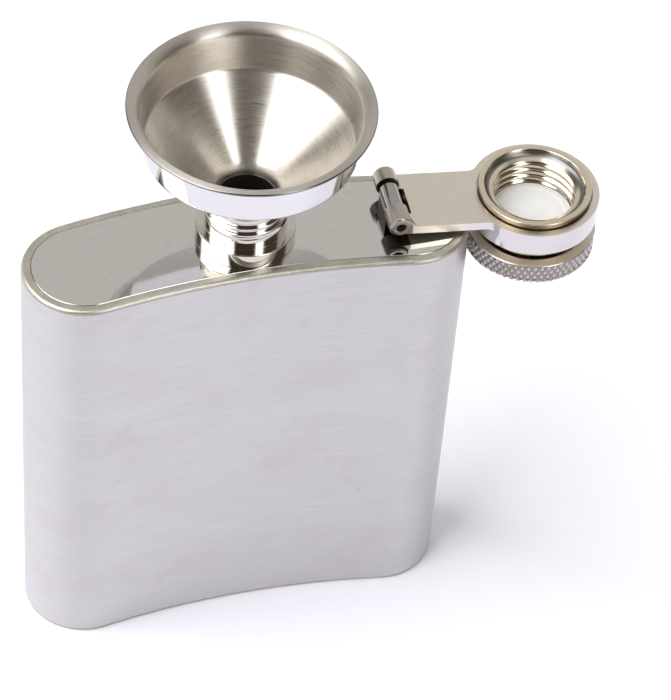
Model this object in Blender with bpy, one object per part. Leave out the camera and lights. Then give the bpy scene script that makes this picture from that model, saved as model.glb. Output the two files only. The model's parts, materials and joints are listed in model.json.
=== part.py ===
"""Stainless hip flask with a captive screw cap on a hinged arm, and a loose filling funnel in its neck.

Metres, +Z up. The origin is the middle of the base, which stands on z = 0. The front, -Y, is hollow and the
back, +Y, is round, so the flask follows a hip. The cap swings on its arm about a hinge at the +X end.
"""

import math

import bmesh
import bpy
from mathutils import Matrix, Vector

MM = 0.001

# The body in plan: two round ends, a round back and a hollow front, all arcs that touch.
END_CENTRE_X = 27.9 * MM
END_RADIUS = 10.6 * MM
BACK_RADIUS = 156.5 * MM
FRONT_RADIUS = 161.0 * MM
BODY_HEIGHT = 85.0 * MM
WALL = 0.8 * MM
PLATE_THICKNESS = 0.9 * MM
WELD_WIDTH = 1.6 * MM
WELD_DEPTH = 2.2 * MM
WELD_ROUNDING = 1.0 * MM
SHEET_GAP = 0.2 * MM

# The neck, a turned bush that stands in the top plate.
NECK_Y = 2.1 * MM
COLLAR_RADIUS = 8.5 * MM
COLLAR_HEIGHT = 3.0 * MM
NECK_RADIUS = 6.95 * MM
NECK_BORE = 5.9 * MM
NECK_HEIGHT = 10.0 * MM
NECK_THREAD_START = 5.3 * MM
NECK_EDGE = 0.3 * MM
SPIGOT_RADIUS = 7.6 * MM
SPIGOT_DEPTH = 2.0 * MM
THREAD_PITCH = 1.5 * MM
THREAD_DEPTH = 0.55 * MM
THREAD_FADE = 1 / 6

# The hinge. It sits on the body's curved middle line, so its axis is turned a little in plan, and the cap
# comes down true on the neck. Its knuckles and pin are given by where they start and end along the axis.
HINGE_TURN = math.radians(2.51)
ARM_REACH = 25.15 * MM
HINGE_HEIGHT = BODY_HEIGHT + 3.8 * MM
FRONT_KNUCKLE = (-6.5 * MM, -2.85 * MM)
MIDDLE_KNUCKLE = (-2.6 * MM, 2.5 * MM)
BACK_KNUCKLE = (3.2 * MM, 6.6 * MM)
OUTER_KNUCKLE_RADIUS = 2.0 * MM
MIDDLE_KNUCKLE_RADIUS = 1.55 * MM
PIN_ENDS = (-6.0 * MM, 6.1 * MM)
PIN_RADIUS = 0.8 * MM
PIN_BORE = 0.87 * MM
WEB_BACK = 0.9 * MM
LEAF_THICKNESS = 0.45 * MM
LEAF_NEAR = 2.5 * MM
LEAF_FAR = 5.5 * MM
LEAF_HALF_WIDTH = 4.6 * MM
LEAF_OVERLAP = 0.5 * MM

# The arm: a strap that slopes down over the flask's rim and then carries a level ring. Its inner end is
# notched round the fixed knuckle.
RING_TOP = BODY_HEIGHT + 2.1 * MM
RING_HEIGHT = 4.4 * MM
RING_RADIUS = 11.15 * MM
RING_HOLE = 9.3 * MM
RING_RECESS = 9.95 * MM
RING_RECESS_DEPTH = 1.1 * MM
STRAP_FRONT = 6.5 * MM
STRAP_BACK = 6.05 * MM
STRAP_NEAR_END = 0.67 * MM
STRAP_THICKNESS = 1.65 * MM
STRAP_SLOPE = 0.1
STRAP_BEND = 15.0 * MM
STRAP_FILLET = 2.0 * MM
NOTCH_SIDES = (-3.1 * MM, 2.8 * MM)
NOTCH_DEPTH = 2.7 * MM
SHOULDER_DEPTH = 1.4 * MM

# The cap: a threaded cup held in the ring by its lip, with a knurled knob on its far side.
LIP_RADIUS = 9.7 * MM
LIP_RISE = 1.2 * MM
LIP_HEIGHT = 2.0 * MM
STEM_RADIUS = 9.05 * MM
MOUTH_RADIUS = 8.75 * MM
MOUTH_MIDDLE = (8.1 * MM, 0.95 * MM)
MOUTH_DEPTH = 1.35 * MM
CAP_THREAD_RADIUS = 6.9 * MM
LINER_DEPTH = 6.5 * MM
LINER_RADIUS = 7.1 * MM
LINER_THICKNESS = 1.2 * MM
CUP_FLOOR = 1.2 * MM
KNOB_RADIUS = 11.3 * MM
KNOB_HEIGHT = 3.9 * MM
KNOB_DROP = 2.9 * MM
KNOB_EDGE = 0.35 * MM

# The funnel: a spun bowl on a tapered spout.
THROAT_RADIUS = 5.3 * MM
THROAT_HEIGHT = BODY_HEIGHT + 10.5 * MM
CREASE_RADIUS = 17.45 * MM
CREASE_HEIGHT = BODY_HEIGHT + 21.3 * MM
WALL_TOP = (18.05 * MM, BODY_HEIGHT + 27.2 * MM)
LIP_CORNER = (18.3 * MM, BODY_HEIGHT + 29.1 * MM)
RIM_RADIUS = 20.5 * MM
RIM_HEIGHT = BODY_HEIGHT + 29.3 * MM
FUNNEL_SHEET = 0.5 * MM
SPOUT_END = BODY_HEIGHT - 6.0 * MM
SPOUT_END_RADIUS = 4.4 * MM
SPOUT_SHEET = 0.4 * MM
FIT_GAP = 0.3 * MM
SMALL_EDGE = 0.2 * MM

# How finely the curves are drawn.
END_STEPS = 20
SIDE_STEPS = 14
TURN_STEPS = 48
BAR_STEPS = 32
THREAD_ROWS = 6
FILLET_STEPS = 4
LIP_STEPS = 6


def clear_scene():
    for old in list(bpy.data.objects):
        bpy.data.objects.remove(old, do_unlink=True)


def metal(name, colour, roughness, metallic=1.0):
    """A plain Principled material."""
    material = bpy.data.materials.new(name)
    material.use_nodes = True
    shader = material.node_tree.nodes["Principled BSDF"]
    shader.inputs["Base Color"].default_value = (*colour, 1.0)
    shader.inputs["Roughness"].default_value = roughness
    shader.inputs["Metallic"].default_value = metallic
    material.diffuse_color = (*colour, 1.0)
    return material


def empty(name, location, turn=0.0):
    """An empty that carries the pieces of one moving body."""
    holder = bpy.data.objects.new(name, None)
    holder.location = location
    holder.rotation_euler = (0.0, 0.0, turn)
    bpy.context.scene.collection.objects.link(holder)
    return holder


def finish_object(name, mesh_data, material, parent=None, location=(0.0, 0.0, 0.0)):
    """Makes a named object from a bmesh, with its faces pointing out and its round sides smooth."""
    bmesh.ops.recalc_face_normals(mesh_data, faces=mesh_data.faces)
    mesh = bpy.data.meshes.new(name)
    mesh_data.to_mesh(mesh)
    mesh_data.free()
    mesh.shade_smooth()
    mesh.set_sharp_from_angle(angle=math.radians(35))
    mesh.materials.append(material)
    made = bpy.data.objects.new(name, mesh)
    made.location = location
    made.parent = parent
    bpy.context.scene.collection.objects.link(made)
    return made


def combine(target, tool, operation):
    """Joins a hidden tool body to the target, or cuts it away."""
    tool.hide_render = True
    tool.display_type = "WIRE"
    modifier = target.modifiers.new(tool.name, "BOOLEAN")
    modifier.operation = operation
    modifier.solver = "EXACT"
    modifier.object = tool


def arc(centre, radius, start, end, steps):
    """Points along an arc, without its last one, where the next arc starts."""
    angles = [start + (end - start) * i / steps for i in range(steps)]
    return [(centre[0] + radius * math.cos(a), centre[1] + radius * math.sin(a)) for a in angles]


def body_outline(inset):
    """The body's plan outline, moved inwards by inset, anticlockwise from above."""
    back_y = -math.sqrt((BACK_RADIUS - END_RADIUS) ** 2 - END_CENTRE_X**2)
    front_y = -math.sqrt((FRONT_RADIUS + END_RADIUS) ** 2 - END_CENTRE_X**2)
    to_back = math.atan2(-back_y, END_CENTRE_X)
    to_front = math.atan2(-front_y, END_CENTRE_X)
    end_radius = END_RADIUS - inset
    right = arc((END_CENTRE_X, 0.0), end_radius, to_front - math.pi, to_back, END_STEPS)
    back = arc((0.0, back_y), BACK_RADIUS - inset, to_back, math.pi - to_back, SIDE_STEPS)
    left = arc((-END_CENTRE_X, 0.0), end_radius, math.pi - to_back, 2 * math.pi - to_front, END_STEPS)
    front = arc((0.0, front_y), FRONT_RADIUS + inset, math.pi - to_front, to_front, SIDE_STEPS)
    return right + back + left + front


def bridge(mesh_data, rings, closed):
    """Faces between each ring of points and the next; a ring of one point is a pole."""
    vertices = [[mesh_data.verts.new(point) for point in ring] for ring in rings]
    pairs = list(zip(vertices, vertices[1:]))
    if closed:
        pairs.append((vertices[-1], vertices[0]))
    for low, high in pairs:
        count = max(len(low), len(high))
        for i in range(count):
            j = (i + 1) % count
            corners = [low[i % len(low)], low[j % len(low)], high[j % len(high)], high[i % len(high)]]
            mesh_data.faces.new(list(dict.fromkeys(corners)))


def body_band(name, section, material):
    """A closed band that runs round the body; its section is a list of (inset, height)."""
    mesh_data = bmesh.new()
    rings = [[(x, y, height) for x, y in body_outline(inset)] for inset, height in section]
    bridge(mesh_data, rings, closed=True)
    return finish_object(name, mesh_data, material)


def body_plate(name, inset, low, high, material):
    """A flat plate that fills the body's outline."""
    mesh_data = bmesh.new()
    outline = body_outline(inset)
    floor = mesh_data.faces.new([mesh_data.verts.new((x, y, low)) for x, y in outline])
    lifted = bmesh.ops.extrude_face_region(mesh_data, geom=[floor])["geom"]
    top = [item for item in lifted if isinstance(item, bmesh.types.BMVert)]
    bmesh.ops.translate(mesh_data, verts=top, vec=Vector((0.0, 0.0, high - low)))
    return finish_object(name, mesh_data, material)


def thread_wave(turns):
    """0 on a thread's crest and 1 in its root, along a smooth wave."""
    return 0.5 - 0.5 * math.cos(2 * math.pi * turns)


def turned(name, rows, material, parent=None, location=(0.0, 0.0, 0.0), steps=TURN_STEPS):
    """A turned piece. Each row is (radius, height) or (radius, height, thread depth), and a row of radius 0
    is a pole. A thread depth moves the row's points in or out along a helix."""
    mesh_data = bmesh.new()
    rings = []
    for row in rows:
        radius, height = row[0], row[1]
        depth = row[2] if len(row) > 2 else 0.0
        if radius == 0.0:
            rings.append([(0.0, 0.0, height)])
            continue
        ring = []
        for step in range(steps):
            turn = step / steps
            reach = radius + depth * thread_wave(height / THREAD_PITCH - turn)
            ring.append((reach * math.cos(2 * math.pi * turn), reach * math.sin(2 * math.pi * turn), height))
        rings.append(ring)
    bridge(mesh_data, rings, closed=rows[0][0] != 0.0)
    return finish_object(name, mesh_data, material, parent, location)


def thread_rows(radius, start, end, depth):
    """Rows for a thread from start to end, which fades in and out at both ends."""
    count = round(abs(end - start) / THREAD_PITCH * THREAD_ROWS)
    rows = []
    for i in range(count + 1):
        share = i / count
        fade = min(1.0, share / THREAD_FADE, (1 - share) / THREAD_FADE)
        rows.append((radius, start + (end - start) * share, depth * fade))
    return rows


def cylinder_along_y(name, radius, low, high, material, parent, location):
    """A round bar whose axis is the parent's Y axis."""
    mesh_data = bmesh.new()
    bmesh.ops.create_cone(
        mesh_data,
        cap_ends=True,
        segments=BAR_STEPS,
        radius1=radius,
        radius2=radius,
        depth=high - low,
        matrix=Matrix.Translation((0.0, (low + high) / 2, 0.0)) @ Matrix.Rotation(math.pi / 2, 4, "X"),
    )
    return finish_object(name, mesh_data, material, parent, location)


def block(name, low, high, material, parent=None, location=(0.0, 0.0, 0.0)):
    """A rectangular block between two corners."""
    mesh_data = bmesh.new()
    centre = (Vector(low) + Vector(high)) / 2
    size = Vector(high) - Vector(low)
    matrix = Matrix.Translation(centre) @ Matrix.Diagonal((*size, 1.0))
    bmesh.ops.create_cube(mesh_data, size=1.0, matrix=matrix)
    return finish_object(name, mesh_data, material, parent, location)


def rim_weld(name, edge, inwards, material):
    """The weld between wrap and plate, ground round. inwards is +1 at the base and -1 at the top."""
    section = [(0.0, edge + inwards * WELD_DEPTH)]
    for i in range(FILLET_STEPS + 1):
        angle = math.pi / 2 * i / FILLET_STEPS
        inset = WELD_ROUNDING * (1 - math.cos(angle))
        section.append((inset, edge + inwards * WELD_ROUNDING * (1 - math.sin(angle))))
    section.append((WELD_WIDTH, edge))
    section.append((WELD_WIDTH, edge + inwards * WELD_DEPTH))
    return body_band(name, section, material)


def make_body():
    brushed = metal("brushed_steel", (0.72, 0.71, 0.73), 0.35)
    ground = metal("ground_weld", (0.62, 0.60, 0.55), 0.45)
    hazy = metal("plate_steel", (0.58, 0.57, 0.56), 0.22)
    low = WELD_DEPTH + SHEET_GAP
    high = BODY_HEIGHT - WELD_DEPTH - SHEET_GAP
    body_band("body_wrap", [(0.0, low), (0.0, high), (WALL, high), (WALL, low)], brushed)
    rim_weld("top_rim_weld", BODY_HEIGHT, -1, ground)
    rim_weld("base_rim_weld", 0.0, 1, ground)
    inset = WELD_WIDTH + SHEET_GAP
    body_plate("base_plate", inset, 0.0, PLATE_THICKNESS, hazy)
    top = body_plate("top_plate", inset, BODY_HEIGHT - PLATE_THICKNESS, BODY_HEIGHT, hazy)
    radius = SPIGOT_RADIUS + SHEET_GAP
    reach = COLLAR_HEIGHT
    rows = [(0.0, -reach), (radius, -reach), (radius, reach), (0.0, reach)]
    hole = turned("neck_hole", rows, hazy, location=(0.0, NECK_Y, BODY_HEIGHT))
    combine(top, hole, "DIFFERENCE")


def make_neck():
    polished = metal("polished_neck", (0.80, 0.78, 0.75), 0.08)
    rows = [
        (NECK_BORE, -SPIGOT_DEPTH),
        (SPIGOT_RADIUS, -SPIGOT_DEPTH),
        (SPIGOT_RADIUS, SHEET_GAP),
        (COLLAR_RADIUS, SHEET_GAP),
        (COLLAR_RADIUS, COLLAR_HEIGHT - NECK_EDGE),
        (COLLAR_RADIUS - NECK_EDGE, COLLAR_HEIGHT),
        (NECK_RADIUS, COLLAR_HEIGHT),
    ]
    rows += thread_rows(NECK_RADIUS, NECK_THREAD_START, NECK_HEIGHT - NECK_EDGE, -THREAD_DEPTH)
    rows += [(NECK_RADIUS - NECK_EDGE, NECK_HEIGHT), (NECK_BORE, NECK_HEIGHT)]
    turned("threaded_neck", rows, polished, location=(0.0, NECK_Y, BODY_HEIGHT))


def make_bracket(hinge):
    """The fixed half of the hinge: one knuckle on a leaf that is welded to the top plate, under the arm."""
    polished = metal("bracket_steel", (0.70, 0.68, 0.65), 0.15)
    front, back = MIDDLE_KNUCKLE
    radius = MIDDLE_KNUCKLE_RADIUS
    bracket = cylinder_along_y("hinge_bracket", radius, front, back, polished, hinge, (0, 0, 0))
    low = BODY_HEIGHT + SHEET_GAP - HINGE_HEIGHT
    high = low + LEAF_THICKNESS
    web = block("bracket_web", (-radius, front, low), (WEB_BACK, back, 0.0), polished, hinge)
    tongue_end = (LEAF_NEAR + LEAF_OVERLAP, back, high)
    tongue = block("bracket_tongue", (0.0, front, low), tongue_end, polished, hinge)
    leaf_corners = (LEAF_NEAR, -LEAF_HALF_WIDTH, low), (LEAF_FAR, LEAF_HALF_WIDTH, high)
    leaf = block("bracket_leaf", *leaf_corners, polished, hinge)
    for piece in (web, tongue, leaf):
        combine(bracket, piece, "UNION")
    bore = cylinder_along_y("bracket_bore", PIN_BORE, 2 * front, 2 * back, polished, hinge, (0, 0, 0))
    combine(bracket, bore, "DIFFERENCE")


def fillet_start(half):
    """How far from the hinge the fillet between the strap's side and the ring starts."""
    return ARM_REACH - math.sqrt((RING_RADIUS + STRAP_FILLET) ** 2 - (half + STRAP_FILLET) ** 2)


def fillet_end(half):
    """How far from the hinge that fillet meets the ring."""
    share = STRAP_FILLET / (RING_RADIUS + STRAP_FILLET)
    return fillet_start(half) * (1 - share) + ARM_REACH * share


def strap_side(along, half):
    """The strap's width on one side of its middle line; it flares into the ring with a fillet."""
    start = fillet_start(half)
    if along <= start:
        return half
    if along >= fillet_end(half):
        return math.sqrt(RING_RADIUS**2 - (ARM_REACH - along) ** 2)
    return half + STRAP_FILLET - math.sqrt(STRAP_FILLET**2 - (along - start) ** 2)


def strap_stations():
    """Distances from the hinge where the strap's section is drawn."""
    stations = {STRAP_NEAR_END, STRAP_BEND}
    for half in (STRAP_FRONT, STRAP_BACK):
        start, end = fillet_start(half), fillet_end(half)
        stations.update(start + (end - start) * i / FILLET_STEPS for i in range(FILLET_STEPS + 1))
    return sorted(stations)


def make_strap(material, hinge):
    """The arm's strap, lofted from the hinge to the ring."""
    mesh_data = bmesh.new()
    rings = []
    for along in strap_stations():
        top = RING_TOP - HINGE_HEIGHT + max(0.0, STRAP_BEND - along) * STRAP_SLOPE
        low = top - STRAP_THICKNESS
        front, back = -strap_side(along, STRAP_FRONT), strap_side(along, STRAP_BACK)
        rings.append([(along, front, low), (along, back, low), (along, back, top), (along, front, top)])
    bridge(mesh_data, rings, closed=False)
    mesh_data.verts.ensure_lookup_table()
    mesh_data.faces.new(mesh_data.verts[:4])
    mesh_data.faces.new(mesh_data.verts[-4:])
    return finish_object("strap_tool", mesh_data, material, hinge)


def make_arm(hinge):
    """The arm: strap, ring and the two outer knuckles, in one piece."""
    satin = metal("arm_steel", (0.66, 0.63, 0.57), 0.28)
    place = (ARM_REACH, 0.0, 0.0)
    top = RING_TOP - HINGE_HEIGHT
    bottom = top - RING_HEIGHT
    floor = top - RING_RECESS_DEPTH
    ring_rows = [
        (RING_HOLE, bottom),
        (RING_RADIUS - SMALL_EDGE, bottom),
        (RING_RADIUS, bottom + SMALL_EDGE),
        (RING_RADIUS, top - SMALL_EDGE),
        (RING_RADIUS - SMALL_EDGE, top),
        (RING_RECESS, top),
        (RING_RECESS, floor),
        (RING_HOLE, floor),
    ]
    arm = turned("cap_arm", ring_rows, satin, hinge, place)
    strap = make_strap(satin, hinge)
    hollow_rows = [
        (0.0, bottom - MM),
        (RING_HOLE, bottom - MM),
        (RING_HOLE, floor),
        (RING_RECESS, floor),
        (RING_RECESS, top + MM),
        (0.0, top + MM),
    ]
    combine(strap, turned("ring_hollow", hollow_rows, satin, hinge, place), "DIFFERENCE")
    combine(arm, strap, "UNION")
    for name, (front, back) in (("front_knuckle", FRONT_KNUCKLE), ("back_knuckle", BACK_KNUCKLE)):
        radius = OUTER_KNUCKLE_RADIUS
        knuckle = cylinder_along_y(name + "_tool", radius, front, back, satin, hinge, (0, 0, 0))
        combine(arm, knuckle, "UNION")
    cut_notch(arm, satin, hinge)


def cut_notch(arm, material, hinge):
    """Makes room for the fixed knuckle, and bores the arm for the pin."""
    room = MIDDLE_KNUCKLE_RADIUS + FIT_GAP
    deep = RING_HEIGHT
    front_end, back_end = FRONT_KNUCKLE[1], BACK_KNUCKLE[0]
    shoulder = OUTER_KNUCKLE_RADIUS
    cuts = [
        ((-room, front_end, -deep), (NOTCH_DEPTH, NOTCH_SIDES[1], deep)),
        ((-room, NOTCH_SIDES[1] - SHEET_GAP, -deep), (SHOULDER_DEPTH, back_end, deep)),
        ((shoulder, NOTCH_SIDES[0], -deep), (NOTCH_DEPTH, front_end + SHEET_GAP, deep)),
    ]
    for number, (low, high) in enumerate(cuts, 1):
        combine(arm, block(f"notch_tool_{number}", low, high, material, hinge), "DIFFERENCE")
    reach = 2 * BACK_KNUCKLE[1]
    bore = cylinder_along_y("arm_bore_tool", PIN_BORE, -reach, reach, material, hinge, (0, 0, 0))
    combine(arm, bore, "DIFFERENCE")


def make_pin(hinge):
    steel = metal("pin_steel", (0.45, 0.42, 0.38), 0.3)
    cylinder_along_y("hinge_pin", PIN_RADIUS, *PIN_ENDS, steel, hinge, (0, 0, 0))


def make_cap(hinge):
    """The cap's three pieces, round the ring's axis."""
    inner = metal("cap_thread_steel", (0.74, 0.69, 0.60), 0.15)
    knurled = metal("knurled_steel", (0.60, 0.57, 0.55), 0.3)
    white = metal("liner_plastic", (0.86, 0.87, 0.86), 0.45, metallic=0.0)
    axis = (ARM_REACH, 0.0, RING_TOP - HINGE_HEIGHT)
    mouth = LIP_RISE
    liner_face = mouth - LINER_DEPTH
    cup_low = liner_face - LINER_THICKNESS - FIT_GAP - CUP_FLOOR
    rows = [
        (0.0, cup_low),
        (STEM_RADIUS, cup_low),
        (STEM_RADIUS, mouth - LIP_HEIGHT),
        (LIP_RADIUS, mouth - LIP_HEIGHT),
        (LIP_RADIUS, mouth - SMALL_EDGE),
        (LIP_RADIUS - SMALL_EDGE, mouth),
        (MOUTH_RADIUS, mouth),
        (MOUTH_MIDDLE[0], mouth - MOUTH_MIDDLE[1]),
    ]
    thread_start = mouth - MOUTH_DEPTH
    rows += thread_rows(CAP_THREAD_RADIUS, thread_start, liner_face + SMALL_EDGE, THREAD_DEPTH)
    undercut = LINER_RADIUS + FIT_GAP
    rows += [
        (undercut, liner_face),
        (undercut, cup_low + CUP_FLOOR),
        (0.0, cup_low + CUP_FLOOR),
    ]
    turned("cap_thread_cup", rows, inner, hinge, axis)

    liner_low = liner_face - LINER_THICKNESS
    liner_rows = [(0.0, liner_low), (LINER_RADIUS, liner_low), (LINER_RADIUS, liner_face), (0.0, liner_face)]
    turned("cap_liner", liner_rows, white, hinge, axis)

    knob_top = -RING_HEIGHT - KNOB_DROP
    knob_low = knob_top - KNOB_HEIGHT
    socket_floor = cup_low - FIT_GAP
    knob_rows = [
        (0.0, knob_low),
        (KNOB_RADIUS - KNOB_EDGE, knob_low),
        (KNOB_RADIUS, knob_low + KNOB_EDGE),
        (KNOB_RADIUS, knob_top - KNOB_EDGE),
        (KNOB_RADIUS - KNOB_EDGE, knob_top),
        (STEM_RADIUS + FIT_GAP, knob_top),
        (STEM_RADIUS + FIT_GAP, socket_floor),
        (0.0, socket_floor),
    ]
    turned("cap_knob", knob_rows, knurled, hinge, axis)


def bowl_wall():
    """The bowl's inner surface from throat to rim: a cone, an upright wall and a lip that turns out."""
    rows = [(THROAT_RADIUS, THROAT_HEIGHT), (CREASE_RADIUS, CREASE_HEIGHT)]
    rim = (RIM_RADIUS - FUNNEL_SHEET / 2, RIM_HEIGHT)
    for i in range(LIP_STEPS + 1):
        share = i / LIP_STEPS
        weights = (1 - share) ** 2, 2 * share * (1 - share), share**2
        points = WALL_TOP, LIP_CORNER, rim
        rows.append(tuple(sum(w * point[k] for w, point in zip(weights, points)) for k in (0, 1)))
    return rows


def offset(rows, distance):
    """The same curve, moved to its outer side by a distance."""
    moved = []
    for i, (radius, height) in enumerate(rows):
        before, after = rows[max(0, i - 1)], rows[min(len(rows) - 1, i + 1)]
        run, rise = after[0] - before[0], after[1] - before[1]
        step = distance / math.hypot(run, rise)
        moved.append((radius + step * rise, height - step * run))
    return moved


def make_funnel(holder):
    """The bowl and its spout. The bowl's cone rests just clear of the neck's mouth."""
    spun = metal("spun_steel", (0.76, 0.74, 0.72), 0.2)
    tube = metal("spout_steel", (0.70, 0.69, 0.67), 0.25)
    inner = bowl_wall()
    cone = math.atan2(CREASE_RADIUS - THROAT_RADIUS, CREASE_HEIGHT - THROAT_HEIGHT)
    outer = [(THROAT_RADIUS + FUNNEL_SHEET / math.cos(cone), THROAT_HEIGHT)]
    outer += offset(inner, FUNNEL_SHEET)[1:]
    rim = [(RIM_RADIUS, RIM_HEIGHT - FUNNEL_SHEET / 2)]
    turned("funnel_bowl", inner + list(reversed(outer + rim)), spun, holder)
    spout_top = THROAT_HEIGHT - SHEET_GAP
    rows = [
        (THROAT_RADIUS - SPOUT_SHEET, spout_top),
        (THROAT_RADIUS, spout_top),
        (SPOUT_END_RADIUS, SPOUT_END),
        (SPOUT_END_RADIUS - SPOUT_SHEET, SPOUT_END),
    ]
    turned("funnel_spout", rows, tube, holder)


def main():
    clear_scene()
    make_body()
    make_neck()
    hinge_x = ARM_REACH * math.cos(HINGE_TURN)
    hinge_y = NECK_Y - ARM_REACH * math.sin(HINGE_TURN)
    hinge = empty("cap_hinge_axis", (hinge_x, hinge_y, HINGE_HEIGHT), -HINGE_TURN)
    make_bracket(hinge)
    make_arm(hinge)
    make_pin(hinge)
    make_cap(hinge)
    make_funnel(empty("funnel_axis", (0.0, NECK_Y, 0.0)))


main()
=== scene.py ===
"""The looks of the hip flask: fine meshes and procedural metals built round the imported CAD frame.

Lengths are in metres, in the CAD's own frame. Each visible piece stands for one CAD node, takes its place and
size from that node's box, and rides on the same body.
"""

import json
import math

import bmesh
import bpy
from mathutils import Matrix, Vector, noise


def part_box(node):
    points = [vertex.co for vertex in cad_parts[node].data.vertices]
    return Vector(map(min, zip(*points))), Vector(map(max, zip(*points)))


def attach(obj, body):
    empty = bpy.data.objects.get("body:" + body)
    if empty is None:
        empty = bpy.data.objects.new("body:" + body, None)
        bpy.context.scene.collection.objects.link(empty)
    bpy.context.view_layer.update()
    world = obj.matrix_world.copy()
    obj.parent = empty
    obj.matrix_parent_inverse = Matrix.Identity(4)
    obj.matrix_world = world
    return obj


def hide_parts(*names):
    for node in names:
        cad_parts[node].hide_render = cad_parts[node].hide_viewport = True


MM = 0.001
TAU = 2 * math.pi

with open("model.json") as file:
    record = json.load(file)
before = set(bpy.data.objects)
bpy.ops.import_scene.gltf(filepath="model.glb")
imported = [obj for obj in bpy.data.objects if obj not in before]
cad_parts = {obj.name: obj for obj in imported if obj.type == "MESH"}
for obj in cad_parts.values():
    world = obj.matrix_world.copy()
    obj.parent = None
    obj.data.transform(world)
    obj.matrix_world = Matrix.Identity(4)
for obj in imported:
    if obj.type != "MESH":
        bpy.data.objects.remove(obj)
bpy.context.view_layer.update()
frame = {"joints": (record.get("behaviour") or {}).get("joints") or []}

# ---------------------------------------------------------------- measures taken from the frame

JOINTS = {joint["name"]: joint for joint in frame["joints"]}
WRAP_LOW, WRAP_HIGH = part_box("body_wrap")
PLATE_LOW, PLATE_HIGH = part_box("top_plate")
NECK_LOW, NECK_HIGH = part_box("threaded_neck")
BRACKET_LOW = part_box("hinge_bracket")[0]
ARM_LOW, ARM_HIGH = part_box("cap_arm")
CUP_LOW, CUP_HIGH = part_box("cap_thread_cup")
LINER_LOW, LINER_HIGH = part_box("cap_liner")
KNOB_LOW, KNOB_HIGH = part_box("cap_knob")
BOWL_LOW, BOWL_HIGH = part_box("funnel_bowl")
SPOUT_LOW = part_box("funnel_spout")[0]

TOP = PLATE_HIGH.z
NECK_AXIS = ((NECK_LOW.x + NECK_HIGH.x) / 2, (NECK_LOW.y + NECK_HIGH.y) / 2)
CAP_AXIS = tuple(JOINTS["cap_spin"]["pos_m"][:2])
HINGE = Vector(JOINTS["cap_hinge"]["pos_m"])
HINGE_AXIS = -Vector(JOINTS["cap_hinge"]["axis"])
ARM_DIRECTION = HINGE_AXIS.cross(Vector((0, 0, 1)))
ARM_REACH = (Vector((*CAP_AXIS, HINGE.z)) - HINGE).length
ARM_TURN = math.atan2(ARM_DIRECTION.y, ARM_DIRECTION.x)
ARM_FRAME = Matrix.Translation(HINGE) @ Matrix.Rotation(ARM_TURN, 4, "Z")

END_RADIUS = -WRAP_LOW.y
END_CENTRE_X = WRAP_HIGH.x - END_RADIUS
BACK_RADIUS = (WRAP_HIGH.y**2 - END_RADIUS**2 + END_CENTRE_X**2) / (2 * (WRAP_HIGH.y - END_RADIUS))
FRONT_RADIUS = 161.0 * MM
WELD_WIDTH = 1.6 * MM
WELD_ROUNDING = 0.7 * MM
CREASE_WIDTH = 0.04 * MM
THREAD_PITCH = 1.5 * MM
THREAD_DEPTH = 0.55 * MM
TURN_STEPS = 144
HOLE_STEPS = 96
TOUCH = 1e-6
RIM_JOINT = 0.7 * MM
WALL = 0.8 * MM
NECK_RADIUS = 6.95 * MM
NECK_BORE = 5.9 * MM
COLLAR_RADIUS = 8.5 * MM
COLLAR_HEIGHT = 3.0 * MM
SPIGOT_RADIUS = 7.6 * MM
PLATE_HOLE = 7.7 * MM
STEM_RADIUS = 9.05 * MM
CUP_BORE = 7.1 * MM
MOUTH_RADIUS = 8.75 * MM
PRESS_RADIUS = 6.3 * MM
RING_HEIGHT = 4.4 * MM
RING_HOLE = 9.3 * MM
RING_RECESS = 9.95 * MM
RING_RECESS_DEPTH = 1.1 * MM
STRAP_HALF = 6.3 * MM
STRAP_NEAR_END = 0.67 * MM
STRAP_THICKNESS = 1.65 * MM
STRAP_SLOPE = 0.088
STRAP_BEND = 15.0 * MM
STRAP_FILLET = 2.0 * MM
STRAP_CUTS = (6 * MM, 9 * MM, 12 * MM)
NOTCH_SIDES = (-3.1 * MM, 2.8 * MM)
NOTCH_DEPTH = 2.7 * MM
SHOULDER_DEPTH = 1.4 * MM
KNUCKLE_RADIUS = 2.0 * MM
FRONT_KNUCKLE = (-6.85 * MM, -2.85 * MM)
MIDDLE_KNUCKLE = (-2.6 * MM, 2.5 * MM)
BACK_KNUCKLE = (3.2 * MM, 6.6 * MM)
MIDDLE_RADIUS = 1.55 * MM
PIN_RADIUS = 0.8 * MM
PIN_BORE = 0.87 * MM
KNURL_COUNT = 60
KNURL_DEPTH = 0.3 * MM
KNURL_ROW = 1.9 * MM
SHEET = 0.5 * MM


# ---------------------------------------------------------------- mesh tools

def add_piece(name, mesh, body, node, materials, smooth_angle=40, flat_area=None):
    """Links a mesh as a piece that rides on a body and stands for a CAD node. Faces over flat_area stay
    flat."""
    mesh.shade_smooth()
    mesh.set_sharp_from_angle(angle=math.radians(smooth_angle))
    if flat_area:
        for polygon in mesh.polygons:
            polygon.use_smooth = polygon.area < flat_area
    for material in materials:
        mesh.materials.append(material)
    piece = bpy.data.objects.new(name, mesh)
    bpy.context.scene.collection.objects.link(piece)
    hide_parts(node)
    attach(piece, body)
    return piece


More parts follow.
